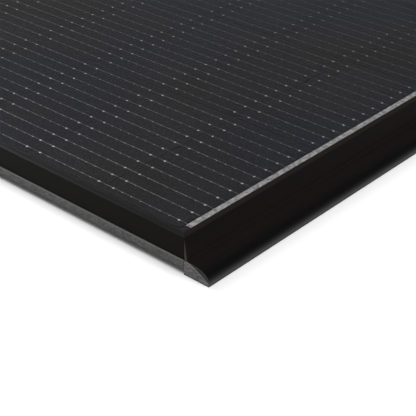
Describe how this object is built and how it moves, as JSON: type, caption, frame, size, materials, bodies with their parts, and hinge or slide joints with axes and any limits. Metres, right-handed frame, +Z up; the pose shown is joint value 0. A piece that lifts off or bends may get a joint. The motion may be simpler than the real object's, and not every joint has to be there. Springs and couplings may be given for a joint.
{
  "type": "solar panel",
  "caption": "Framed photovoltaic module with dark cells under glass, an all-black frame with flared skirts on the short sides and grey base strips along the long sides.",
  "frame": {"origin": "on the ground plane under the middle of the module, where the skirts' feet rest", "axes": "+X along the module's length towards the front skirt, +Y across it towards the right side, +Z up through the glass"},
  "size_m": [1.856, 1.1364, 0.035],
  "materials": {
    "tempered_glass": "clear low-iron glass with a fine matt texture",
    "clear_encapsulant": "clear sheet, stands for a cured polymer",
    "rear_encapsulant": "dark cured polymer",
    "backsheet": "matt black polymer film",
    "seal": "black silicone",
    "cell": "dark anti-reflection coated silicon",
    "ribbon": "tinned copper, satin",
    "black_anodised": "black anodised aluminium, satin",
    "grey_anodised": "grey anodised aluminium, fine texture",
    "corner_key": "mill finish",
    "box_plastic": "black moulded plastic",
    "lid_plastic": "black moulded plastic",
    "gland_plastic": "black moulded plastic",
    "diode": "moulded black body",
    "terminal": "tinned copper"
  },
  "bodies": {
    "root": {"front_glass": "tempered_glass", "front_encapsulant": "clear_encapsulant", "rear_encapsulant": "rear_encapsulant", "backsheet": "backsheet", "edge_seal": "seal", "cell_string_front_1": "cell", "cell_string_front_2": "cell", "cell_string_front_3": "cell", "cell_string_front_4": "cell", "cell_string_front_5": "cell", "cell_string_front_6": "cell", "cell_string_back_1": "cell", "cell_string_back_2": "cell", "cell_string_back_3": "cell", "cell_string_back_4": "cell", "cell_string_back_5": "cell", "cell_string_back_6": "cell", "end_ribbon_front_1": "ribbon", "end_ribbon_front_2": "ribbon", "end_ribbon_front_3": "ribbon", "end_ribbon_back_1": "ribbon", "end_ribbon_back_2": "ribbon", "end_ribbon_back_3": "ribbon", "middle_ribbon_1": "ribbon", "middle_ribbon_2": "ribbon", "middle_ribbon_3": "ribbon", "middle_ribbon_4": "ribbon", "skirt_rail_front": "black_anodised", "skirt_rail_back": "black_anodised", "side_rail_left": "black_anodised", "side_rail_right": "black_anodised", "base_strip_left": "grey_anodised", "base_strip_right": "grey_anodised", "end_plate_front_left": "grey_anodised", "end_plate_front_right": "grey_anodised", "end_plate_back_left": "grey_anodised", "end_plate_back_right": "grey_anodised", "corner_key_front_left": "corner_key", "corner_key_front_right": "corner_key", "corner_key_back_left": "corner_key", "corner_key_back_right": "corner_key", "junction_box_1": "box_plastic", "junction_box_2": "box_plastic", "junction_box_3": "box_plastic", "box_lid_1": "lid_plastic", "box_lid_2": "lid_plastic", "box_lid_3": "lid_plastic", "cable_gland_1": "gland_plastic", "cable_gland_3": "gland_plastic", "bypass_diode_1": "diode", "bypass_diode_2": "diode", "bypass_diode_3": "diode", "terminal_1a": "terminal", "terminal_1b": "terminal", "terminal_2a": "terminal", "terminal_2b": "terminal", "terminal_3a": "terminal", "terminal_3b": "terminal"}
  },
  "joints": []
}
